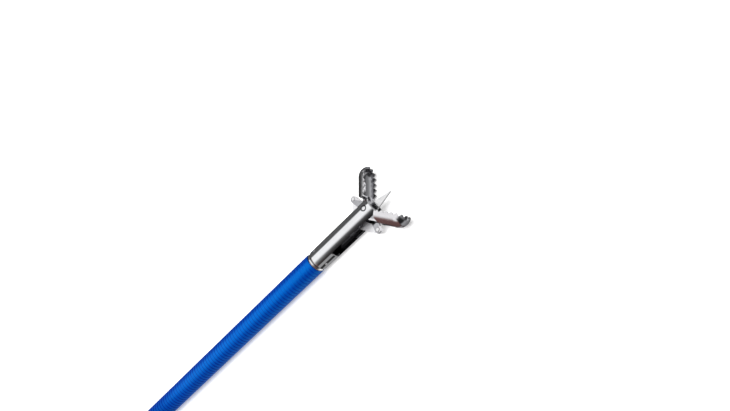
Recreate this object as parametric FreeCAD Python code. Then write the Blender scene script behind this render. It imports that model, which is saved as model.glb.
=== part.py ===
import FreeCAD, Part
import math
import os

V = FreeCAD.Vector
os.makedirs("parts", exist_ok=True)

# ---------------------------------------------------------------- sizes (mm)
# working head, measured from the photograph at a 2.4 mm sheath
SHEATH_R = 1.20          # blue jacket, 2.4 mm outside
HOUSING_R = 1.20         # clevis tube, 2.4 mm outside
HOUSING_BORE = 0.92
HOUSING_FRONT = 0.76     # in front of the pivot
HOUSING_REAR = -8.14
SLOT_REAR = -5.85        # where the side slots start
SLOT_H = 0.70            # half height of the side slots
STUD_X = -7.40
SHEATH_FRONT = -8.53
PIN_R = 0.22
JAW_TIP = 4.90           # pivot to jaw tip
JAW_R = 1.15             # half width of a cup
JAW_RI = 0.92
JAW_REAR = 1.33
TOOTH_PITCH = 0.61
TOOTH_H = 0.28
RIM_GAP = 0.03
OPEN_A = 58.0            # upper jaw, from closed to the pose in the photograph
OPEN_B = 51.0            # lower jaw
TAIL_A = 2.27            # pivot to elbow
TAIL_DEG = 22.0
LINK_B = 2.60            # elbow to crosshead pin
RIVET_R = 0.13
HEAD_H = 0.07             # rivet heads
CROSS_PIN_R = 0.12
L1 = (0.345, 0.600)      # layers of the stacked levers, from the top
L2 = (0.035, 0.325)
L3 = (-0.345, -0.105)
L4 = (-0.600, -0.365)

# places in the row frame
XP, YH, ZA = 112.575, 13.70, 1.20        # pivot of the jaws
XC, YC = 49.5, -4.375                    # centre of the coiled sheath
COIL_R = 14.4                          # middle of its turns
COIL_PITCH = 2.45
COIL_Z0 = 0.60
X_TIP = 11.625                           # front of the strain relief
ZH = 7.0                               # handle axis height

# handle
STEM_R = 4.9
RELIEF_L = 18.0
NOSE_L = 11.0
STEM_L = 68.445
RING_RO, RING_RI, RING_T = 16.2, 11.0, 8.0
SPOOL_L, FLANGE_T = 25.0, 3.6
SPOOL_W, SPOOL_H = 18.05, 7.0
WAIST_W, WAIST_H = 9.2, 6.5
SPOOL_BORE = 4.98
SPOOL_TRAVEL = 8.0

# elbows of the two jaws, and the crosshead pin where both links meet
BA, BB = math.radians(TAIL_DEG + OPEN_A), math.radians(TAIL_DEG + OPEN_B)
EA = (-TAIL_A * math.cos(BA), -TAIL_A * math.sin(BA))
EB = (-TAIL_A * math.cos(BB), TAIL_A * math.sin(BB))
DX, DY = EB[0] - EA[0], EB[1] - EA[1]
DN = math.hypot(DX, DY)
DH = math.sqrt(LINK_B ** 2 - DN ** 2 / 4)
WX = (EA[0] + EB[0]) / 2 - DH * DY / DN
WY = (EA[1] + EB[1]) / 2 + DH * DX / DN


def box(x0, x1, y0, y1, z0, z1):
    return Part.makeBox(x1 - x0, y1 - y0, z1 - z0, V(x0, y0, z0))


def cyl_x(x0, x1, r, y=0.0, z=0.0):
    return Part.makeCylinder(r, x1 - x0, V(x0, y, z), V(1, 0, 0))


def cyl_z(x, y, z0, z1, r):
    return Part.makeCylinder(r, z1 - z0, V(x, y, z0), V(0, 0, 1))


def fuse(*s):
    out = s[0].multiFuse(list(s[1:])) if len(s) > 1 else s[0]
    return out.removeSplitter()


def prism_xy(points, z0, z1):
    pts = [V(x, y, z0) for x, y in points]
    return Part.Face(Part.makePolygon(pts + [pts[0]])).extrude(V(0, 0, z1 - z0))


def bar(p, q, r1, r2, z0, z1):
    """flat lever with rounded ends, from p to q"""
    dx, dy = q[0] - p[0], q[1] - p[1]
    n = math.hypot(dx, dy)
    a = math.atan2(dy, dx)
    k = math.acos((r1 - r2) / n)
    pts = [(p[0] + r1 * math.cos(a + k), p[1] + r1 * math.sin(a + k)),
           (p[0] + r1 * math.cos(a - k), p[1] + r1 * math.sin(a - k)),
           (q[0] + r2 * math.cos(a - k), q[1] + r2 * math.sin(a - k)),
           (q[0] + r2 * math.cos(a + k), q[1] + r2 * math.sin(a + k))]
    return fuse(prism_xy(pts, z0, z1), cyl_z(p[0], p[1], z0, z1, r1), cyl_z(q[0], q[1], z0, z1, r2))


def revolve_x(profile, x_axis_y=0.0):
    """profile: (x, r) points, closed, turned about the X axis"""
    pts = [V(x, r, 0) for x, r in profile]
    f = Part.Face(Part.makePolygon(pts + [pts[0]]))
    return f.revolve(V(0, 0, 0), V(1, 0, 0), 360)


def solid(s):
    s = s.removeSplitter() if s.ShapeType != "Solid" else s
    if s.ShapeType in ("Compound", "CompSolid") and len(s.Solids) == 1:
        return s.Solids[0]
    return s


out = {}

# ---------------------------------------------------------------- head
# each jaw is drawn closed, on the +Y side of the tube axis, and then turned open


def cup_blank(r, x_rear, y0):
    upper = fuse(cyl_x(x_rear, JAW_TIP - JAW_R, r), Part.makeSphere(r, V(JAW_TIP - JAW_R, 0, 0), V(1, 1, 0)))
    upper = upper.common(box(-1, 6, 0, 2, -2, 2))
    rim = fuse(box(x_rear, JAW_TIP - JAW_R, y0, 0, -r, r),
               Part.makeCylinder(r, -y0, V(JAW_TIP - JAW_R, y0, 0), V(0, 1, 0)))
    return fuse(upper, rim)


def jaw(layer, shift, sign):
    y0 = -TOOTH_H / 2
    cup = cup_blank(JAW_R, JAW_REAR, y0).cut(cup_blank(JAW_RI, JAW_REAR + 0.24, y0 - 0.2))
    # rounded heel
    rr = 0.80
    corner = box(JAW_REAR - 0.1, JAW_REAR + rr, JAW_R - rr, JAW_R + 0.1, -2, 2).cut(
        cyl_z(JAW_REAR + rr, JAW_R - rr, -2, 2, rr))
    cup = cup.cut(corner)
    # the heel is open in the middle, for the spike
    cup = cup.cut(box(JAW_REAR - 0.2, JAW_REAR + 0.35, -1, 0.62, -0.33, 0.33))
    cup = cup.cut(box(JAW_REAR - 0.2, JAW_REAR + 0.30, -1, 0.02, -0.62, 0.62))
    # window in the back of the cup
    w = 0.45
    win = fuse(box(2.45, 3.22, 0.3, 2, -w, w),
               Part.makeCylinder(w, 1.7, V(2.45, 0.3, 0), V(0, 1, 0)),
               Part.makeCylinder(w, 1.7, V(3.22, 0.3, 0), V(0, 1, 0)))
    cup = cup.cut(win)
    # teeth: V notches along both sides and round the tip
    p, h = TOOTH_PITCH, TOOTH_H / 2
    tools = []
    x = JAW_TIP - JAW_R - (0.5 if shift == 0 else 0.0) * p
    while x > JAW_TIP - JAW_R - 3.6 * p:
        pts = [V(x - p / 2, -h - 0.001, -2), V(x + p / 2, -h - 0.001, -2), V(x, h, -2)]
        for z0, z1 in ((-2.0, -0.45), (0.45, 2.0)):
            f = Part.Face(Part.makePolygon([V(v.x, v.y, z0) for v in pts] + [V(pts[0].x, pts[0].y, z0)]))
            tools.append(f.extrude(V(0, 0, z1 - z0)))
        x -= p
    step = 30.0
    k = -3
    while k <= 3:
        a = math.radians((k + (0.5 if shift == 0 else 0.0)) * step)
        k += 1
        if abs(math.degrees(a)) > 80:
            continue
        wires = []
        for r in (0.55, 1.35):
            hw = r * math.tan(math.radians(step / 2))
            c = V(JAW_TIP - JAW_R + r * math.cos(a), 0, r * math.sin(a))
            t = V(-math.sin(a), 0, math.cos(a))
            q = [c + t * hw + V(0, -h - 0.001, 0), c - t * hw + V(0, -h - 0.001, 0), c + V(0, h, 0)]
            wires.append(Part.makePolygon(q + [q[0]]))
        tools.append(Part.makeLoft(wires, True, True))
    for t in tools:
        cup = cup.cut(t)
    # plain rim next to the heel
    cup = cup.cut(box(JAW_REAR - 0.3, JAW_TIP - JAW_R - 3.5 * p + 0.03, -1, 0.005, -2, 2))
    cup.translate(V(0, RIM_GAP, 0))
    # tang from the pivot to the heel, and the bent tail
    z0, z1 = layer
    tang = fuse(cyl_z(0, 0, z0, z1, 0.56), prism_xy([(0, -0.54), (0.62, -0.34), (1.22, -0.03), (JAW_REAR + 0.22, 0.01), (JAW_REAR + 0.40, 0.62), (JAW_REAR + 0.40, 1.00), (0.62, 1.00), (0.40, 0.92), (0, 0.54)], z0, z1))
    t = math.radians(180 + TAIL_DEG)
    e = (TAIL_A * math.cos(t), TAIL_A * math.sin(t))
    tail = bar((0, 0), e, 0.42, 0.36, z0, z1)
    lever = fuse(tang, tail)
    s = fuse(cup, lever)
    s = s.cut(cyl_z(0, 0, -2, 2, PIN_R + 0.02)).cut(cyl_z(e[0], e[1], -2, 2, RIVET_R))
    s = solid(s)
    if sign < 0:
        s = s.mirror(V(0, 0, 0), V(0, 1, 0))
    s.rotate(V(0, 0, 0), V(0, 0, 1), sign * (OPEN_A if sign > 0 else OPEN_B))
    return s


out["upper_jaw"] = jaw(L3, 0, +1)
out["lower_jaw"] = jaw(L1, 0.5, -1)

# clevis tube with its two side slots
h = cyl_x(HOUSING_REAR, HOUSING_FRONT, HOUSING_R)
rear = [e for e in h.Edges if abs(e.BoundBox.XMin - HOUSING_REAR) < 1e-6 and abs(e.BoundBox.XMax - HOUSING_REAR) < 1e-6]
h = h.makeFillet(0.16, rear)
front = [e for e in h.Edges if abs(e.BoundBox.XMin - HOUSING_FRONT) < 1e-6]
h = h.makeChamfer(0.05, front)
h = h.cut(cyl_x(-6.90, HOUSING_FRONT + 1, HOUSING_BORE)).cut(cyl_x(HOUSING_REAR - 1, -6, 0.36))
h = h.cut(fuse(box(SLOT_REAR + 0.25, 3, -3, 3, -SLOT_H, SLOT_H),
               box(SLOT_REAR, 3, -3, 3, -SLOT_H + 0.25, SLOT_H - 0.25),
               Part.makeCylinder(0.25, 6, V(SLOT_REAR + 0.25, -3, SLOT_H - 0.25), V(0, 1, 0)),
               Part.makeCylinder(0.25, 6, V(SLOT_REAR + 0.25, -3, -SLOT_H + 0.25), V(0, 1, 0))))
h = h.cut(cyl_z(0, 0, -2, 2, PIN_R))
# shallow countersinks round the ends of the pivot pin
for sz in (1, -1):
    h = h.cut(Part.makeCone(PIN_R, 0.36, 0.12, V(0, 0, sz * 1.09), V(0, 0, sz)))
# two flats on the solid rear part
for sy in (1, -1):
    h = h.cut(box(HOUSING_REAR - 0.5, SLOT_REAR - 0.05, min(sy * 1.0, sy * 2), max(sy * 1.0, sy * 2), -2, 2))
# seats of the three weld studs at the rear
STUDS = [(-1.0, 0.0, 0.45), (0.5, 0.866025, 0.62), (0.5, -0.866025, 0.62)]
for dy, dz, n in STUDS:
    h = h.cut(Part.makeCylinder(0.14, 1.5, V(STUD_X, dy * 0.60, dz * 0.60), V(0, dy, dz)))
out["distal_housing"] = solid(h)

studs = []
for dy, dz, n in STUDS:
    st = Part.makeCylinder(0.14, n, V(STUD_X, dy * 0.60, dz * 0.60), V(0, dy, dz))
    st = st.makeFillet(0.04, [e for e in st.Edges if abs(e.CenterOfMass.y * dy + e.CenterOfMass.z * dz - 0.60 - n) < 1e-6 and len(e.Vertexes) == 1])
    studs.append(st)
out["housing_weld_studs"] = Part.makeCompound(studs)

# pivot pin, flush with the tube and slightly crowned
pin = cyl_z(0, 0, -1.195, 1.195, PIN_R)
pin = pin.common(Part.makeSphere(1.205, V(0, 0, 0)))
out["pivot_pin"] = solid(pin)

# spike: flat lancet on the pivot pin, held between two washers
sp = fuse(cyl_z(0, 0, -0.09, 0.09, 0.48), prism_xy([(0, -0.48), (0.45, -0.60), (3.06, -0.02), (3.06, 0.02), (0.45, 0.60), (0, 0.48)], -0.09, 0.09))
sp = sp.cut(cyl_z(0, 0, -1, 1, PIN_R))
out["spike"] = solid(sp)
out["pivot_washers"] = Part.makeCompound([
    cyl_z(0, 0, 0.10, 0.33, 0.44).cut(cyl_z(0, 0, -1, 1, PIN_R)),
    cyl_z(0, 0, -0.60, -0.36, 0.44).cut(cyl_z(0, 0, -1, 1, PIN_R))])

# links
la = bar(EA, (WX, WY), 0.36, 0.46, *L4).cut(cyl_z(EA[0], EA[1], -2, 2, RIVET_R + 0.02)).cut(cyl_z(WX, WY, -2, 2, 0.34))
lb = bar(EB, (WX, WY), 0.35, 0.42, *L2).cut(cyl_z(EB[0], EB[1], -2, 2, RIVET_R + 0.02)).cut(cyl_z(WX, WY, -2, 2, CROSS_PIN_R))
out["upper_jaw_link"] = solid(la)
out["lower_jaw_link"] = solid(lb)


def rivet(x, y, zt, zb):
    """shank through tail and link, with a low round head on each side"""
    s = cyl_z(x, y, zb, zt, RIVET_R)
    hd = Part.makeCylinder(0.22, HEAD_H, V(x, y, zt), V(0, 0, 1))
    hd = hd.makeFillet(0.05, [e for e in hd.Edges if abs(e.BoundBox.ZMin - (zt + HEAD_H)) < 1e-6 and e.BoundBox.ZLength < 1e-6])
    hb = Part.makeCylinder(0.22, HEAD_H, V(x, y, zb), V(0, 0, -1))
    hb = hb.makeFillet(0.05, [e for e in hb.Edges if abs(e.BoundBox.ZMin - (zb - HEAD_H)) < 1e-6 and e.BoundBox.ZLength < 1e-6])
    return solid(fuse(s, hd, hb))


out["upper_elbow_rivet"] = rivet(EA[0], EA[1], L3[1], L4[0] - 0.01)
out["lower_elbow_rivet"] = rivet(EB[0], EB[1], L1[1], L2[0] - 0.01)

# crosshead on the end of the pull wire
ch = fuse(box(WX - 0.95, WX + 0.05, -0.50, 0.50, *L1), cyl_z(WX + 0.05, 0, L1[0], L1[1], 0.50),
          box(WX - 0.95, WX + 0.05, -0.50, 0.50, *L3), cyl_z(WX + 0.05, 0, L3[0], L3[1], 0.50),
          box(WX - 1.45, WX - 0.92, -0.50, 0.50, L4[0], L1[1]))
slot = fuse(box(WX - 0.36, WX + 0.02, -0.28, 0.28, -2, 2), cyl_z(WX - 0.36, 0, -2, 2, 0.28), cyl_z(WX + 0.02, 0, -2, 2, 0.28))
ch = ch.cut(slot).cut(cyl_x(WX - 3, WX - 0.9, 0.26))
out["crosshead"] = solid(ch)
out["crosshead_pin"] = cyl_z(WX, WY, L4[0] + 0.02, L1[1] - 0.02, CROSS_PIN_R)

# the wire, and the steel coil it slides in, along the straight end of the sheath
out["pull_wire"] = cyl_x(-28.0, WX - 0.95, 0.26)
SF = SHEATH_FRONT
col = revolve_x([(-9.7, 0.36), (-9.7, 0.80), (SF, 0.80), (SF, 1.02), (SF + 0.05, 1.10), (SF + 0.12, 1.13), (SF + 0.20, 1.10), (SF + 0.26, 1.02), (SF + 0.30, 0.93), (HOUSING_REAR, 0.93), (HOUSING_REAR, 0.36)])
out["coil_collar"] = solid(col)
out["inner_steel_coil"] = cyl_x(-31.0, -9.7, 0.82).cut(cyl_x(-32, -9, 0.36))

for n in out:
    out[n].translate(V(XP, YH, ZA))

# ---------------------------------------------------------------- sheath


def route(points, r, factor=0.45):
    """tube of radius r along straight runs joined by tangent arcs"""
    pts = [V(*p) for p in points]
    edges, cur, radii, total = [], pts[0], [], 0.0
    for i in range(1, len(pts) - 1):
        a, b = pts[i] - pts[i - 1], pts[i + 1] - pts[i]
        la_, lb_ = a.Length, b.Length
        a.normalize(), b.normalize()
        turn = math.acos(max(-1, min(1, a.dot(b))))
        t = factor * min(la_, lb_)
        rad = t / math.tan(turn / 2)
        radii.append(round(rad, 1))
        p0, p1 = pts[i] - a * t, pts[i] + b * t
        n = a.cross(b)
        n.normalize()
        c = p0 + n.cross(a) * rad
        m = c + ((pts[i] - c).normalize()) * rad
        if (p0 - cur).Length > 1e-6:
            edges.append(Part.LineSegment(cur, p0).toShape())
            total += (p0 - cur).Length
        edges.append(Part.Arc(p0, m, p1).toShape())
        total += rad * turn
        cur = p1
    edges.append(Part.LineSegment(cur, pts[-1]).toShape())
    total += (pts[-1] - cur).Length
    wire = Part.Wire(edges)
    d = (pts[1] - pts[0]).normalize()
    prof = Part.Wire([Part.makeCircle(r, pts[0], d)])
    s = wire.makePipeShell([prof], True, False, 1)
    print("route length %.1f, radii %s, volume/section-length %.4f" % (total, radii, s.Volume / (math.pi * r * r * total)))
    return s, total


R_OUT = COIL_R + 1.5 * COIL_PITCH
Z_BOT = COIL_Z0 + SHEATH_R
Z_TOP = Z_BOT + 3 * COIL_PITCH
XS = XP + SHEATH_FRONT
run1 = [(XS, YH, ZA), (XS - 24.0, YH, ZA), (XC + 5.0, YH - 0.2, 1.40), (XC - 8.0, YH - 1.0, Z_BOT)]
tube1, n1 = route(run1, SHEATH_R)
run2 = [(XC + 3.0, YH - 0.1, Z_TOP), (XC - 12.0, YH - 1.6, Z_TOP - 0.4), (XC - 23.0, YH - 9.0, 8.0), (X_TIP + 7.6, 0.0, ZH), (X_TIP - 7.6, 0.0, ZH)]
tube2, n2 = route(run2, SHEATH_R)

ro, ri = R_OUT + SHEATH_R + 0.05, COIL_R - 1.5 * COIL_PITCH - SHEATH_R - 0.05
coil = Part.makeCylinder(ro, 3 * COIL_PITCH + 2 * SHEATH_R, V(XC, YC, COIL_Z0)).cut(
    Part.makeCylinder(ri, 3 * COIL_PITCH + 2 * SHEATH_R, V(XC, YC, COIL_Z0)))
ring_edges = [e for e in coil.Edges if e.BoundBox.ZLength < 1e-6]
coil = coil.makeFillet(1.0, ring_edges)
out["sheath_coiled"] = solid(coil)
t1 = tube1.cut(coil)
t1 = max(t1.Solids, key=lambda s: s.BoundBox.XMax)
t1 = t1.cut(cyl_x(XP - 31.2, XP - 7.0, 0.84, YH, ZA))
t1 = max(t1.Solids, key=lambda s: s.Volume)
out["sheath_front_run"] = t1
t2 = tube2.cut(coil)
t2 = min(t2.Solids, key=lambda s: s.BoundBox.XMin)
out["sheath_rear_run"] = t2
print("sheath length about %.0f mm" % (n1 + n2 + 16 * 2 * math.pi * COIL_R))

# two bands that hold the coil
bands = []
for deg in (-60, -150):
    w = 3.0
    b = box(ri - 0.75, ro + 0.75, -w, w, 0.0, COIL_Z0 + 3 * COIL_PITCH + 2 * SHEATH_R + 0.6)
    es = [e for e in b.Edges if abs(e.BoundBox.YLength - 2 * w) < 1e-6]
    b = b.makeFillet(1.1, es)
    inner = box(ri - 0.05, ro + 0.05, -w - 1, w + 1, COIL_Z0 - 0.02, COIL_Z0 + 3 * COIL_PITCH + 2 * SHEATH_R + 0.02)
    es = [e for e in inner.Edges if abs(e.BoundBox.YLength - 2 * w - 2) < 1e-6]
    b = b.cut(inner.makeFillet(0.6, es))
    b.rotate(V(0, 0, 0), V(0, 0, 1), deg)
    b.translate(V(XC, YC, 0))
    # the band follows the ring, so it is cut back from it
    b = b.cut(coil)
    bands.append(max(b.Solids, key=lambda s: s.Volume))
out["coil_bands"] = Part.makeCompound(bands)

# ---------------------------------------------------------------- handle (along -X from the strain relief)
xn = X_TIP - RELIEF_L           # front of the nose cap
xs_ = xn - NOSE_L               # front of the stem
xr = xs_ - STEM_L               # end of the straight stem
XR = xr - RING_RO + 2.5         # centre of the thumb ring
H = {}
rel = revolve_x([(xn + 0.0, 1.26), (xn, 3.3), (xn + 2.0, 3.3), (xn + 2.6, 2.9), (xn + 6.0, 2.75), (xn + 12.0, 2.3), (X_TIP - 0.5, 1.95), (X_TIP, 1.75), (X_TIP, 1.26)])
groove = []
for i in range(5):
    g = xn + 4.2 + i * 2.5
    groove.append(revolve_x([(g, 2.2 - 0.08 * i), (g, 3.5), (g + 0.9, 3.5), (g + 0.9, 2.2 - 0.08 * i)]))
for g in groove:
    rel = rel.cut(g)
H["strain_relief"] = solid(rel)

nose = revolve_x([(xs_, 2.4), (xs_, 5.3), (xs_ + 1.0, 5.5), (xs_ + 4.5, 5.5), (xn - 1.2, 4.3), (xn, 3.7), (xn, 1.30), (xn - 4.5, 1.30), (xn - 4.5, 2.4)])
rib = []
for i in range(12):
    a = 2 * math.pi * i / 12
    rib.append(Part.makeCylinder(0.45, 3.5, V(xs_ + 0.8, 5.7 * math.cos(a), 5.7 * math.sin(a)), V(1, 0, 0)))
nose = nose.cut(rib[0].multiFuse(rib[1:]))
H["nose_cap"] = solid(nose)
H["sheath_ferrule"] = solid(cyl_x(xn - 8.5, xn - 4.7, 2.3).cut(cyl_x(xn - 9, xn - 4, 1.26)))

# stem and thumb ring, one moulded piece
ring = Part.makeCylinder(RING_RO, RING_T, V(XR, 0, -RING_T / 2)).cut(Part.makeCylinder(RING_RI, RING_T, V(XR, 0, -RING_T / 2)))
ring = ring.makeFillet(1.9, [e for e in ring.Edges if e.BoundBox.ZLength < 1e-6])
# the stem runs into the ring over a short cone
neck = Part.makeCone(3.6, STEM_R, 5.0, V(xr - 1.0, 0, 0), V(1, 0, 0))
stem = cyl_x(xr + 3.9, xs_ - 0.02, STEM_R)
body = fuse(ring, neck, stem)
slot_front, slot_rear = xs_ - 14.0, xs_ - 58.0
sl = fuse(box(slot_rear, slot_front, -8, 8, -1.7, 1.7),
          Part.makeCylinder(1.7, 16, V(slot_front, -8, 0), V(0, 1, 0)),
          Part.makeCylinder(1.7, 16, V(slot_rear, -8, 0), V(0, 1, 0)))
body = body.cut(sl).cut(cyl_x(slot_rear, xs_ + 1, 1.1))
# threaded spigot for the nose cap
spig = cyl_x(xs_ - 0.02, xs_ + 1.9, 2.35).cut(cyl_x(xs_ - 1, xs_ + 3, 1.1))
body = fuse(body, spig)
# stop collar at the front of the slot
stop = revolve_x([(xs_ - 6.0, STEM_R - 0.5), (xs_ - 6.0, STEM_R + 0.7), (xs_ - 5.4, STEM_R + 1.1), (xs_ - 2.6, STEM_R + 1.1), (xs_ - 2.0, STEM_R + 0.7), (xs_ - 2.0, STEM_R - 0.5)])
body = fuse(body, stop)
H["handle_body"] = solid(body)

# spool, in two halves clamped round the stem; at rest it is pushed forward, jaws open
SX = xs_ - 26.0                  # middle of the spool


def oval(x0, x1, w, hh, rad):
    """block along X with rounded corners in the YZ plane"""
    d = rad * (1 - math.sqrt(0.5))
    e = [Part.LineSegment(V(x0, -w + rad, hh), V(x0, w - rad, hh)).toShape(),
         Part.Arc(V(x0, w - rad, hh), V(x0, w - d, hh - d), V(x0, w, hh - rad)).toShape(),
         Part.LineSegment(V(x0, w, hh - rad), V(x0, w, -hh + rad)).toShape(),
         Part.Arc(V(x0, w, -hh + rad), V(x0, w - d, -hh + d), V(x0, w - rad, -hh)).toShape(),
         Part.LineSegment(V(x0, w - rad, -hh), V(x0, -w + rad, -hh)).toShape(),
         Part.Arc(V(x0, -w + rad, -hh), V(x0, -w + d, -hh + d), V(x0, -w, -hh + rad)).toShape(),
         Part.LineSegment(V(x0, -w, -hh + rad), V(x0, -w, hh - rad)).toShape(),
         Part.Arc(V(x0, -w, hh - rad), V(x0, -w + d, hh - d), V(x0, -w + rad, hh)).toShape()]
    return Part.Face(Part.Wire(e)).extrude(V(x1 - x0, 0, 0))


def flange(x0, x1):
    f = oval(x0, x1, SPOOL_W, SPOOL_H, 6.2)
    return f.makeFillet(1.0, [q for q in f.Edges if q.BoundBox.XLength < 1e-6])


sp_a = flange(SX - SPOOL_L / 2, SX - SPOOL_L / 2 + FLANGE_T)
sp_b = flange(SX + SPOOL_L / 2 - FLANGE_T, SX + SPOOL_L / 2)
waist = oval(SX - SPOOL_L / 2 + 1, SX + SPOOL_L / 2 - 1, WAIST_W, WAIST_H, 5.6)
# thicker roots where the waist meets the flanges
root_a = oval(SX - SPOOL_L / 2 + 1, SX - SPOOL_L / 2 + FLANGE_T + 1.0, WAIST_W + 0.8, WAIST_H + 0.3, 5.8)
root_b = oval(SX + SPOOL_L / 2 - FLANGE_T - 1.0, SX + SPOOL_L / 2 - 1, WAIST_W + 0.8, WAIST_H + 0.3, 5.8)
spool = fuse(sp_a, sp_b, waist, root_a, root_b)
upper = spool.cut(box(SX - 20, SX + 20, -30, 30, -20, 0.01))
lower = upper.mirror(V(0, 0, 0), V(0, 0, 1))
screw_xy = [(SX - 7.0, 7.15), (SX + 7.0, 7.15), (SX - 7.0, -7.15), (SX + 7.0, -7.15)]
bore = cyl_x(SX - 20, SX + 20, SPOOL_BORE)
pocket = box(SX - 1.6, SX + 1.6, -7.6, 7.6, -1.45, 1.45)
upper = upper.cut(bore).cut(pocket)
lower = lower.cut(bore).cut(pocket)
for x, y in screw_xy:
    upper = upper.cut(cyl_z(x, y, -1, 8, 0.8)).cut(cyl_z(x, y, 2.2, 8, 1.45))
    lower = lower.cut(cyl_z(x, y, -4.6, 1, 0.8))
H["spool_upper"] = solid(upper)
H["spool_lower"] = solid(lower)
screws = []
for x, y in screw_xy:
    s = fuse(cyl_z(x, y, -4.0, 2.2, 0.8), cyl_z(x, y, 2.2, 3.3, 1.4))
    s = s.cut(box(x - 1.0, x + 1.0, y - 0.18, y + 0.18, 2.7, 5)).cut(box(x - 0.18, x + 0.18, y - 1.0, y + 1.0, 2.7, 5))
    screws.append(solid(s))
H["spool_screws"] = Part.makeCompound(screws)

anchor = box(SX - 1.5, SX + 1.5, -7.4, 7.4, -1.4, 1.4).cut(cyl_x(SX - 3, SX + 3, 0.55)).cut(cyl_z(SX, 0, 0.3, 3, 0.6))
H["wire_anchor"] = solid(anchor)
H["anchor_set_screw"] = solid(cyl_z(SX, 0, 0.58, 1.35, 0.6).cut(cyl_z(SX, 0, 1.0, 2, 0.28)))
H["stiffening_tube"] = solid(cyl_x(SX - 1.5, xn - 14.0, 0.55).cut(cyl_x(SX - 3, xn, 0.30)))
H["wire_proximal_end"] = cyl_x(SX - 3.0, xn - 13.0, 0.30)
for n in H:
    H[n].translate(V(0, 0, ZH))
    out[n] = H[n]

for n, s in out.items():
    if s.ShapeType == "Compound" and len(s.Solids) == 1:
        s = s.Solids[0]
    bb = s.optimalBoundingBox(True, False)
    ok = all(q.isValid() and q.Volume > 0 for q in s.Solids)
    print("%-22s solids %d valid %s vol %.4f  x %.2f..%.2f y %.2f..%.2f z %.2f..%.2f" % (n, len(s.Solids), ok, s.Volume, bb.XMin, bb.XMax, bb.YMin, bb.YMax, bb.ZMin, bb.ZMax))
    s.exportStep("parts/%s.step" % n)
cords = ("sheath_front_run", "sheath_coiled", "sheath_rear_run", "coil_bands")
own = [out[n].optimalBoundingBox(True, False) for n in out if n not in cords]
print("own box x %.3f..%.3f y %.3f..%.3f z %.3f..%.3f" % (min(b.XMin for b in own), max(b.XMax for b in own), min(b.YMin for b in own), max(b.YMax for b in own), min(b.ZMin for b in own), max(b.ZMax for b in own)))
print("elbows %.4f %.4f and %.4f %.4f, crosshead pin %.4f %.4f" % (EA[0], EA[1], EB[0], EB[1], WX, WY))
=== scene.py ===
import math

import bmesh
import bpy
from mathutils import Matrix, Vector


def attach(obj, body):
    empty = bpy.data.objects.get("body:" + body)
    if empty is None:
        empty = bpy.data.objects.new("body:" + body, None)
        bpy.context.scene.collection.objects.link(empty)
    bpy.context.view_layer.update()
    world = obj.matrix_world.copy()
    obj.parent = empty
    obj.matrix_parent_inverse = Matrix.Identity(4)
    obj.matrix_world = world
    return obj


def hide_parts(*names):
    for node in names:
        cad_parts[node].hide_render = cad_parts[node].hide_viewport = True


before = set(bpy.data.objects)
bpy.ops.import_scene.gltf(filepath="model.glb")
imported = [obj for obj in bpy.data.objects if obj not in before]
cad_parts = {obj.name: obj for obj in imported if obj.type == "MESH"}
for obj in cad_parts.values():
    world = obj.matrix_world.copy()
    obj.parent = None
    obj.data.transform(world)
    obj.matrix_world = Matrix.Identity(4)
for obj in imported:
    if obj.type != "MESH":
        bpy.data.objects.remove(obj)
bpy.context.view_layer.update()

MM = 0.001
PIVOT = Vector((0.112575, 0.01370, 0.00120))    # jaw pivot, in the row frame


def M(x, y, z):
    return Vector((x * MM, y * MM, z * MM))


# ------------------------------------------------------------------ camera
THETA, PSI, ROLL = math.radians(17.38), math.radians(35.81), math.radians(44.0)
FOCAL_PX, DIST, SHIFT_X, SHIFT_Y = 550.0, 56.64, -0.515, 0.569
back = Vector((math.sin(THETA), -math.sin(PSI) * math.cos(THETA), math.cos(PSI) * math.cos(THETA)))
ax = Vector((1, 0, 0))
ax = (ax - back * ax.dot(back)).normalized()
ay = back.cross(ax)
right = ax * math.cos(ROLL) - ay * math.sin(ROLL)
up = ax * math.sin(ROLL) + ay * math.cos(ROLL)
cam_data = bpy.data.cameras.new("photo_camera")
cam = bpy.data.objects.new("photo_camera", cam_data)
bpy.context.scene.collection.objects.link(cam)
loc = PIVOT + (back * DIST + right * SHIFT_X + up * SHIFT_Y) * MM
m = Matrix((right, up, back)).transposed().to_4x4()
m.translation = loc
cam.matrix_world = m
cam_data.sensor_width = 36.0
cam_data.lens = 36.0 * FOCAL_PX / 730.0
cam_data.clip_start = 0.0005
cam_data.clip_end = 10.0
bpy.context.scene.camera = cam


# ------------------------------------------------------------------ node helpers
def material(name):
    mat = bpy.data.materials.new(name)
    mat.use_nodes = True
    nt = mat.node_tree
    bsdf = next(n for n in nt.nodes if n.type == "BSDF_PRINCIPLED")
    return mat, nt, bsdf


def node(nt, kind, **kw):
    n = nt.nodes.new(kind)
    for k, v in kw.items():
        if k in n.inputs:
            n.inputs[k].default_value = v
        else:
            setattr(n, k, v)
    return n


def ramp(nt, stops, src):
    r = nt.nodes.new("ShaderNodeValToRGB")
    el = r.color_ramp.elements
    while len(el) > 1:
        el.remove(el[-1])
    el[0].position, el[0].color = stops[0][0], (*stops[0][1], 1.0)
    for p, c in stops[1:]:
        e = el.new(p)
        e.color = (*c, 1.0)
    nt.links.new(src, r.inputs["Fac"])
    return r.outputs["Color"]


def grey(v):
    return (v, v, v)


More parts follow.
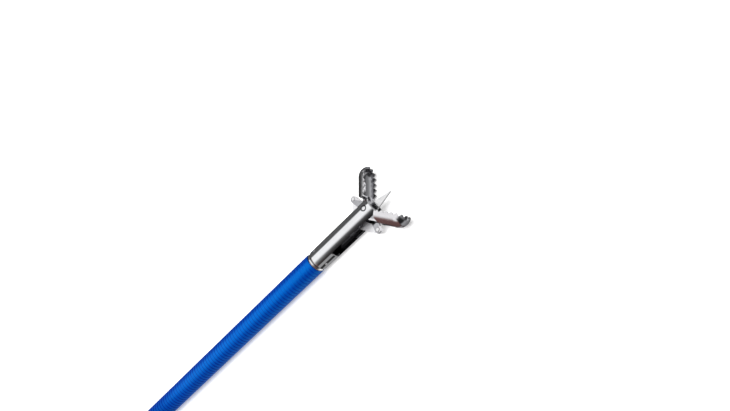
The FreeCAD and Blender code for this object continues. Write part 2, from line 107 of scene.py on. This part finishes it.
def steel(name, colour, rough, scratch=0.06, scale=2500.0, bump=0.02, stretch=(1.0, 1.0, 1.0), aniso=0.0):
    """polished or brushed stainless steel, with fine handling marks"""
    mat, nt, b = material(name)
    b.inputs["Metallic"].default_value = 1.0
    co = nt.nodes.new("ShaderNodeTexCoord")
    mp = nt.nodes.new("ShaderNodeMapping")
    mp.inputs["Scale"].default_value = stretch
    nt.links.new(co.outputs["Object"], mp.inputs["Vector"])
    n1 = node(nt, "ShaderNodeTexNoise", Scale=scale, Detail=4.0, Roughness=0.6)
    nt.links.new(mp.outputs["Vector"], n1.inputs["Vector"])
    n2 = node(nt, "ShaderNodeTexNoise", Scale=scale * 0.22, Detail=2.0)
    nt.links.new(co.outputs["Object"], n2.inputs["Vector"])
    c = ramp(nt, [(0.3, tuple(x * 0.93 for x in colour)), (0.7, colour)], n2.outputs["Fac"])
    nt.links.new(c, b.inputs["Base Color"])
    r = ramp(nt, [(0.35, grey(max(0.02, rough - scratch))), (0.65, grey(rough + scratch))], n1.outputs["Fac"])
    nt.links.new(r, b.inputs["Roughness"])
    bp = node(nt, "ShaderNodeBump", Strength=bump, Distance=0.00002)
    nt.links.new(n1.outputs["Fac"], bp.inputs["Height"])
    nt.links.new(bp.outputs["Normal"], b.inputs["Normal"])
    if aniso:
        b.inputs["Anisotropic"].default_value = aniso
    return mat


def plastic(name, colour, rough, grain=900.0, bump=0.05, coat=0.0, dark=0.92, sss=0.0):
    mat, nt, b = material(name)
    co = nt.nodes.new("ShaderNodeTexCoord")
    n1 = node(nt, "ShaderNodeTexNoise", Scale=grain, Detail=3.0, Roughness=0.55)
    nt.links.new(co.outputs["Object"], n1.inputs["Vector"])
    n2 = node(nt, "ShaderNodeTexNoise", Scale=60.0, Detail=2.0)
    nt.links.new(co.outputs["Object"], n2.inputs["Vector"])
    c = ramp(nt, [(0.3, tuple(x * dark for x in colour)), (0.7, colour)], n2.outputs["Fac"])
    nt.links.new(c, b.inputs["Base Color"])
    r = ramp(nt, [(0.3, grey(rough * 0.85)), (0.7, grey(min(1.0, rough * 1.2)))], n1.outputs["Fac"])
    nt.links.new(r, b.inputs["Roughness"])
    bp = node(nt, "ShaderNodeBump", Strength=bump, Distance=0.00003)
    nt.links.new(n1.outputs["Fac"], bp.inputs["Height"])
    nt.links.new(bp.outputs["Normal"], b.inputs["Normal"])
    b.inputs["IOR"].default_value = 1.5
    if coat:
        b.inputs["Coat Weight"].default_value = coat
        b.inputs["Coat Roughness"].default_value = 0.08
    return mat


def paint_shade_inside(mat, name, radius, centre, axis, shade_tone):
    """paints shade: a darker base colour on the walls that lie nearer to a line than the radius (mm)"""
    nt = mat.node_tree
    b = next(n for n in nt.nodes if n.type == "BSDF_PRINCIPLED")
    co = nt.nodes.new("ShaderNodeTexCoord")
    sub = nt.nodes.new("ShaderNodeVectorMath")
    sub.operation = "SUBTRACT"
    sub.inputs[1].default_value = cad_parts[name].matrix_world.inverted() @ centre
    nt.links.new(co.outputs["Object"], sub.inputs[0])
    flat = nt.nodes.new("ShaderNodeVectorMath")
    flat.operation = "CROSS_PRODUCT"
    flat.inputs[1].default_value = Vector(axis).normalized()
    nt.links.new(sub.outputs["Vector"], flat.inputs[0])
    ln = nt.nodes.new("ShaderNodeVectorMath")
    ln.operation = "LENGTH"
    nt.links.new(flat.outputs["Vector"], ln.inputs[0])
    lt = nt.nodes.new("ShaderNodeMath")
    lt.operation = "LESS_THAN"
    lt.inputs[1].default_value = radius * MM
    nt.links.new(ln.outputs["Value"], lt.inputs[0])
    # painted shade: the base colour is swapped for the dark tone inside the radius
    mx = nt.nodes.new("ShaderNodeMix")
    mx.data_type = "RGBA"
    nt.links.new(lt.outputs[0], mx.inputs["Factor"])
    old = b.inputs["Base Color"].links[0].from_socket
    nt.links.new(old, mx.inputs[6])
    mx.inputs[7].default_value = (*shade_tone, 1.0)
    nt.links.new(mx.outputs[2], b.inputs["Base Color"])
    return mat


def put(mat, *names):
    for n in names:
        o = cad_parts[n]
        if not o.material_slots:
            o.data.materials.append(mat)
        for s in o.material_slots:
            s.link = "OBJECT"
            s.material = mat


# ------------------------------------------------------------------ studio
bpy.context.scene.view_settings.view_transform = "Standard"
floor_mesh = bpy.data.meshes.new("floor")
F = 1.5
floor_mesh.from_pydata([(-F, -F, 0), (F, -F, 0), (F, F, 0), (-F, F, 0)], [], [(0, 1, 2, 3)])
floor = bpy.data.objects.new("floor", floor_mesh)
floor.location = (0, 0, -0.00002)
bpy.context.scene.collection.objects.link(floor)
floor.visible_glossy = False
fm, nt, b = material("floor_paper")
b.inputs["Base Color"].default_value = (0.86, 0.86, 0.86, 1)
b.inputs["Emission Color"].default_value = (1, 1, 1, 1)
b.inputs["Emission Strength"].default_value = 0.38
b.inputs["Roughness"].default_value = 1.0
b.inputs["Specular IOR Level"].default_value = 0.0
floor_mesh.materials.append(fm)

# a light tent: a long bright ceiling strip along the instrument, dark sides, and
# softer cards beyond the two ends
world = bpy.data.worlds.new("studio")
bpy.context.scene.world = world
world.use_nodes = True
wn = world.node_tree
bg = next(n for n in wn.nodes if n.type == "BACKGROUND")
wco = wn.nodes.new("ShaderNodeTexCoord")
sep = wn.nodes.new("ShaderNodeSeparateXYZ")
wn.links.new(wco.outputs["Generated"], sep.inputs[0])


def wmath(op, x, y=None):
    m_ = wn.nodes.new("ShaderNodeMath")
    m_.operation = op
    for i, v in enumerate((x, y)):
        if v is None:
            continue
        if isinstance(v, (int, float)):
            m_.inputs[i].default_value = v
        else:
            wn.links.new(v, m_.inputs[i])
    return m_.outputs[0]


def wmix(fac, x, y):
    m_ = wn.nodes.new("ShaderNodeMix")
    m_.data_type = "RGBA"
    wn.links.new(fac, m_.inputs["Factor"])
    wn.links.new(x, m_.inputs[6])
    wn.links.new(y, m_.inputs[7])
    return m_.outputs[2]


ang = wmath("ARCTAN2", wmath("MULTIPLY", sep.outputs["Y"], -1.0), sep.outputs["Z"])
t_ang = wmath("MULTIPLY_ADD", ang, 0.5 / math.pi)
t_ang.node.inputs[2].default_value = 0.5
deg = lambda d: 0.5 + d / 360.0
strip = ramp(wn, [(deg(-150), grey(0.03)), (deg(-100), grey(0.10)), (deg(-44), grey(0.10)), (deg(-39), grey(0.97)), (deg(12), grey(1.0)), (deg(24), grey(0.75)),
                  (deg(34), grey(0.18)), (deg(46), grey(0.06)), (deg(62), grey(0.025)), (deg(95), grey(0.03)), (deg(108), grey(0.55)), (deg(128), grey(0.5)), (deg(144), grey(0.3)), (deg(165), grey(0.35))], t_ang)
t_z = wmath("MULTIPLY_ADD", sep.outputs["Z"], 0.5)
t_z.node.inputs[2].default_value = 0.5
hz = lambda z: 0.5 + z / 2
front = ramp(wn, [(hz(-0.62), grey(1.0)), (hz(-0.50), grey(0.12)), (hz(-0.14), grey(0.06)), (hz(0.06), grey(0.26)), (hz(0.6), grey(0.38)), (hz(0.95), grey(0.9))], t_z)
rear = ramp(wn, [(hz(-0.78), grey(0.5)), (hz(-0.62), (0.10, 0.06, 0.06)), (hz(-0.10), (0.14, 0.075, 0.07)), (hz(0.34), (0.17, 0.095, 0.09)), (hz(0.45), (0.35, 0.28, 0.27)),
                 (hz(0.58), grey(0.8)), (hz(0.66), grey(1.0))], t_z)
t_x = wmath("MULTIPLY_ADD", sep.outputs["X"], 0.5)
t_x.node.inputs[2].default_value = 0.5
w_front = ramp(wn, [(hz(0.22), grey(0.0)), (hz(0.36), grey(1.0))], t_x)
w_rear = ramp(wn, [(hz(-0.60), grey(1.0)), (hz(-0.42), grey(0.0))], t_x)
# the far side of the rear card is a dark flag
t_y = wmath("MULTIPLY_ADD", sep.outputs["Y"], 0.5)
t_y.node.inputs[2].default_value = 0.5
w_flag = ramp(wn, [(hz(0.36), grey(0.0)), (hz(0.52), grey(1.0))], t_y)
flag = ramp(wn, [(hz(0.40), grey(0.045)), (hz(0.60), grey(0.8))], t_z)
col = wmix(w_rear, wmix(w_front, strip, front), wmix(w_flag, rear, flag))
wn.links.new(col, bg.inputs["Color"])
bg.inputs["Strength"].default_value = 1.15


def softbox(name, at, target, size, power, colour=(1, 1, 1)):
    """at and target in mm from the jaw pivot"""
    l = bpy.data.lights.new(name, "AREA")
    l.shape = "RECTANGLE"
    l.size, l.size_y = size[0] * MM, size[1] * MM
    l.energy = power
    l.color = colour
    o = bpy.data.objects.new(name, l)
    bpy.context.scene.collection.objects.link(o)
    p = PIVOT + M(*at)
    t = PIVOT + M(*target)
    o.location = p
    o.rotation_euler = (t - p).to_track_quat("-Z", "Y").to_euler()
    o.visible_glossy = False
    return o


softbox("key_softbox", (-60, 0, 500), (-60, 0, 0), (500, 400), 2.6)

# a brown card between the head and the handle, seen only in the steel
cm = bpy.data.meshes.new("rear_card")
cx, cy, cz = (PIVOT + M(-41, 0, 0)).x, PIVOT.y, 0.0
cm.from_pydata([(cx, cy - 40 * MM, cz), (cx, cy + 22 * MM, cz), (cx, cy + 22 * MM, cz + 9.5 * MM), (cx, cy - 40 * MM, cz + 9.5 * MM)], [], [(0, 1, 2, 3)])
card = bpy.data.objects.new("rear_card", cm)
bpy.context.scene.collection.objects.link(card)
card.visible_camera = card.visible_diffuse = card.visible_shadow = card.visible_transmission = False
fm, nt, b = material("card_brown")
b.inputs["Base Color"].default_value = (0, 0, 0, 1)
b.inputs["Specular IOR Level"].default_value = 0.0
b.inputs["Emission Color"].default_value = (0.14, 0.078, 0.074, 1)
b.inputs["Emission Strength"].default_value = 1.15
cm.materials.append(fm)

# ------------------------------------------------------------------ looks of the CAD pieces
tube = steel("polished_tube_steel", (0.78, 0.785, 0.80), 0.13, 0.03, 3000, 0.01, (0.15, 1, 1))
# painted shade: a near-black base colour on the pivot-hole walls and on the bore walls inside the housing
paint_shade_inside(tube, "distal_housing", 0.34, PIVOT, (0, 0, 1), (0.12, 0.12, 0.13))
put(paint_shade_inside(tube, "distal_housing", 1.02, PIVOT, (1, 0, 0), (0.05, 0.05, 0.055)), "distal_housing")
put(steel("weld_steel", (0.92, 0.92, 0.93), 0.16, 0.04, 4000, 0.02), "housing_weld_studs")
put(steel("pin_steel", (0.80, 0.80, 0.81), 0.18, 0.05, 4000, 0.02), "pivot_pin", "pivot_washers", "upper_elbow_rivet", "lower_elbow_rivet", "crosshead_pin", "spool_screws", "anchor_set_screw")
put(steel("blade_steel", (0.82, 0.82, 0.83), 0.22, 0.05, 2500, 0.03), "spike")
put(steel("collar_steel", (0.85, 0.85, 0.86), 0.12, 0.03, 3000, 0.01), "coil_collar", "sheath_ferrule")
for name, a in (("upper_jaw", 58.0), ("lower_jaw", -51.0)):
    a = math.radians(a)
    jaw = steel("jaw_steel_" + name, (0.72, 0.71, 0.73), 0.16, 0.06, 2200, 0.05)
    # painted shade: a darker grey base colour on the inner walls of each jaw cup, within 1 mm of its axis
    put(paint_shade_inside(jaw, name, 1.0, PIVOT, (math.cos(a), math.sin(a), 0), (0.42, 0.42, 0.44)), name)
link = steel("link_steel", (0.88, 0.88, 0.90), 0.38, 0.05, 2500, 0.03)
next(n for n in link.node_tree.nodes if n.type == "BSDF_PRINCIPLED").inputs["Metallic"].default_value = 0.55
put(link, "upper_jaw_link", "lower_jaw_link")
put(steel("crosshead_steel", (0.16, 0.16, 0.17), 0.34, 0.05, 2500, 0.03), "crosshead")
put(steel("wire_steel", (0.6, 0.6, 0.62), 0.3, 0.06, 2500, 0.05), "inner_steel_coil", "stiffening_tube", "wire_proximal_end")
put(steel("cable_steel", (0.20, 0.20, 0.21), 0.4, 0.06, 2500, 0.05), "pull_wire")
put(steel("anchor_brass", (0.80, 0.60, 0.30), 0.25, 0.05, 1500, 0.04), "wire_anchor")
put(plastic("handle_white", (0.48, 0.49, 0.505), 0.32, 700, 0.04, 0.2), "handle_body")
put(plastic("spool_blue", (0.015, 0.10, 0.52), 0.30, 700, 0.04, 0.3), "spool_upper", "spool_lower")
put(plastic("nose_blue", (0.012, 0.08, 0.42), 0.42, 900, 0.08), "nose_cap")
put(plastic("relief_rubber", (0.010, 0.05, 0.28), 0.55, 1500, 0.12), "strain_relief")
put(plastic("band_fabric", (0.50, 0.51, 0.53), 0.85, 2500, 0.4), "coil_bands")

# ------------------------------------------------------------------ small edge roundings
def soften(width, *names):
    for n in names:
        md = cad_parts[n].modifiers.new("edge_round", "BEVEL")
        md.width = width * MM
        md.segments = 2
        md.limit_method = "ANGLE"
        md.angle_limit = math.radians(38)
        md.use_clamp_overlap = True
        md.harden_normals = True


soften(0.030, "distal_housing", "crosshead", "upper_jaw_link", "lower_jaw_link", "upper_jaw", "lower_jaw")

# ------------------------------------------------------------------ sheath
XP, YH, ZA = 112.575, 13.70, 1.20
XC, YC, COIL_R, PITCH = 49.5, -4.375, 14.4, 2.45
Z_BOT = 0.60 + 1.20
XS = XP - 8.53
route = [(XS, YH, ZA), (XS - 24.0, YH, ZA), (XC + 5.0, YH - 0.2, 1.40)]
# sixteen turns: four layers of four, out and in by turns
TURNS, STEPS = 16, 16
radii = [COIL_R + (1.5 - k) * PITCH for k in range(4)]


def place(t):
    """radius and height after t turns"""
    k = min(int(t), TURNS - 1)
    f = t - k

    def slot(i):
        i = max(0, min(TURNS - 1, i))
        layer, col = divmod(i, 4)
        if layer % 2:
            col = 3 - col
        return radii[col], Z_BOT + layer * PITCH
    r0, z0 = slot(k)
    r1, z1 = slot(k + 1)
    s = max(0.0, (f - 0.70) / 0.30)
    s = s * s * (3 - 2 * s)
    return r0 + (r1 - r0) * s, z0 + (z1 - z0) * s


n = TURNS * STEPS
for i in range(0, n):
    t = (i + 0.5) / STEPS
    r, z = place(t)
    a = math.pi / 2 + 2 * math.pi * t
    rr = r / math.cos(math.pi / STEPS)
    route.append((XC + rr * math.cos(a), YC + rr * math.sin(a), z))
X_TIP = 11.625
Z_TOP = Z_BOT + 3 * PITCH
route += [(XC - 12.0, YH - 1.6, Z_TOP - 0.4), (XC - 23.0, YH - 9.0, 8.0), (X_TIP + 7.6, 0.0, 7.0), (X_TIP - 7.6, 0.0, 7.0)]

cu = bpy.data.curves.new("sheath_line", "CURVE")
cu.dimensions = "3D"
cu.resolution_u = 6
sp = cu.splines.new("NURBS")
sp.points.add(len(route) - 1)
for p, q in zip(sp.points, route):
    p.co = (q[0] * MM, q[1] * MM, q[2] * MM, 1.0)
sp.order_u = 3
sp.use_endpoint_u = True
line = bpy.data.objects.new("sheath_line", cu)
bpy.context.scene.collection.objects.link(line)
bpy.context.view_layer.update()
lm = bpy.data.meshes.new_from_object(line.evaluated_get(bpy.context.evaluated_depsgraph_get()))
pts = [v.co.copy() for v in lm.vertices]
bpy.data.objects.remove(line)
cum = [0.0]
for a, c in zip(pts, pts[1:]):
    cum.append(cum[-1] + (c - a).length)
total = cum[-1]
print("sheath length %.1f mm" % (total / MM))


def at(s):
    import bisect
    j = max(0, min(len(pts) - 2, bisect.bisect_right(cum, s) - 1))
    f = (s - cum[j]) / max(1e-12, cum[j + 1] - cum[j])
    return pts[j].lerp(pts[j + 1], f)


SHEATH_R, RIB, RIB_DEPTH, SEEN = 1.20 * MM, 0.42 * MM, 0.012 * MM, 40.0 * MM
stations, s = [], 0.0
while s < SEEN:
    stations.append(s)
    s += RIB / 6
while s < total:
    stations.append(s)
    s += 1.1 * MM
stations.append(total)
SEG = 40
verts, faces, uvs = [], [], []
up_v = Vector((0, 0, 1))
prev_n = None
for i, s in enumerate(stations):
    p = at(s)
    d = (at(min(total, s + 0.3 * MM)) - at(max(0.0, s - 0.3 * MM))).normalized()
    nrm = up_v - d * up_v.dot(d)
    nrm.normalize()
    bi = d.cross(nrm)
    ph = 2 * math.pi * s / RIB
    rad = SHEATH_R
    if s < SEEN:
        rad -= RIB_DEPTH * 0.5 * (1 - math.cos(ph))
    if i == 0:
        rad -= 0.05 * MM
    for k in range(SEG):
        a = 2 * math.pi * k / SEG
        verts.append(p + (nrm * math.cos(a) + bi * math.sin(a)) * rad)
for i in range(len(stations) - 1):
    for k in range(SEG):
        a, c = i * SEG + k, i * SEG + (k + 1) % SEG
        faces.append((a, a + SEG, c + SEG, c))
        u0, u1 = stations[i] / RIB, stations[i + 1] / RIB
        v0, v1 = k / SEG, (k + 1) / SEG
        uvs += [(u0, v0), (u1, v0), (u1, v1), (u0, v1)]
# rolled front lip and the bore
base = len(verts)
lip = [(0.02, 1.13), (0.0, 1.06), (0.03, 0.98), (0.10, 0.93), (1.0, 0.93)]
for back_by, r in lip:
    p = at(back_by * MM)
    d = (at(0.3 * MM) - at(0)).normalized()
    nrm = (up_v - d * up_v.dot(d)).normalized()
    bi = d.cross(nrm)
    for k in range(SEG):
        a = 2 * math.pi * k / SEG
        verts.append(p + (nrm * math.cos(a) + bi * math.sin(a)) * r * MM)
rows = [0] + [base + j * SEG for j in range(len(lip))]
for j in range(len(rows) - 1):
    for k in range(SEG):
        a, c = rows[j] + k, rows[j] + (k + 1) % SEG
        e, f = rows[j + 1] + k, rows[j + 1] + (k + 1) % SEG
        faces.append((a, c, f, e))
        uvs += [(0, 0), (0, 0.1), (0.1, 0.1), (0.1, 0)]
me = bpy.data.meshes.new("blue_sheath")
me.from_pydata([tuple(v) for v in verts], [], faces)
uv = me.uv_layers.new(name="along")
for i, q in enumerate(uvs):
    uv.data[i].uv = q
for p in me.polygons:
    p.use_smooth = True
sheath = bpy.data.objects.new("blue_sheath", me)
bpy.context.scene.collection.objects.link(sheath)
sheath.visible_glossy = False

sm, nt, b = material("blue_jacket")
co = nt.nodes.new("ShaderNodeTexCoord")
n1 = node(nt, "ShaderNodeTexNoise", Scale=180.0, Detail=3.0)
nt.links.new(co.outputs["Object"], n1.inputs["Vector"])
c = ramp(nt, [(0.3, (0.0, 0.034, 0.33)), (0.7, (0.0, 0.040, 0.37))], n1.outputs["Fac"])
nt.links.new(c, b.inputs["Base Color"])
n2 = node(nt, "ShaderNodeTexNoise", Scale=1400.0, Detail=3.0)
nt.links.new(co.outputs["Object"], n2.inputs["Vector"])
r = ramp(nt, [(0.3, grey(0.18)), (0.7, grey(0.26))], n2.outputs["Fac"])
# the wound coil shows through as fine ribs: smoother on the crests, rougher in the grooves, with painted
# shade (a slightly darker base colour) in the grooves
tc = nt.nodes.new("ShaderNodeUVMap")
tc.uv_map = "along"
sx = nt.nodes.new("ShaderNodeSeparateXYZ")
nt.links.new(tc.outputs["UV"], sx.inputs[0])


def smath(op, x, y=None):
    m_ = nt.nodes.new("ShaderNodeMath")
    m_.operation = op
    for i, v in enumerate((x, y)):
        if isinstance(v, (int, float)):
            m_.inputs[i].default_value = v
        elif v is not None:
            nt.links.new(v, m_.inputs[i])
    return m_.outputs[0]


groove = smath("SUBTRACT", 0.5, smath("MULTIPLY", smath("COSINE", smath("MULTIPLY", sx.outputs["X"], 2 * math.pi)), 0.5))
rr = smath("ADD", smath("MULTIPLY", groove, 0.26), r)
nt.links.new(rr, b.inputs["Roughness"])
# painted shade: the base colour darkens by up to 5% in the rib grooves
groove_shade_mix = nt.nodes.new("ShaderNodeMix")
groove_shade_mix.data_type = "RGBA"
groove_shade_mix.blend_type = "MULTIPLY"
nt.links.new(smath("MULTIPLY", groove, 0.05), groove_shade_mix.inputs["Factor"])
nt.links.new(c, groove_shade_mix.inputs[6])
groove_shade_mix.inputs[7].default_value = (0.0, 0.0, 0.0, 1.0)
nt.links.new(groove_shade_mix.outputs[2], b.inputs["Base Color"])
b.inputs["IOR"].default_value = 2.1
b.inputs["Specular IOR Level"].default_value = 1.0
b.inputs["Specular Tint"].default_value = (0.005, 0.40, 1.0, 1.0)
me.materials.append(sm)
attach(sheath, "shaft")
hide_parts("sheath_front_run", "sheath_coiled", "sheath_rear_run")
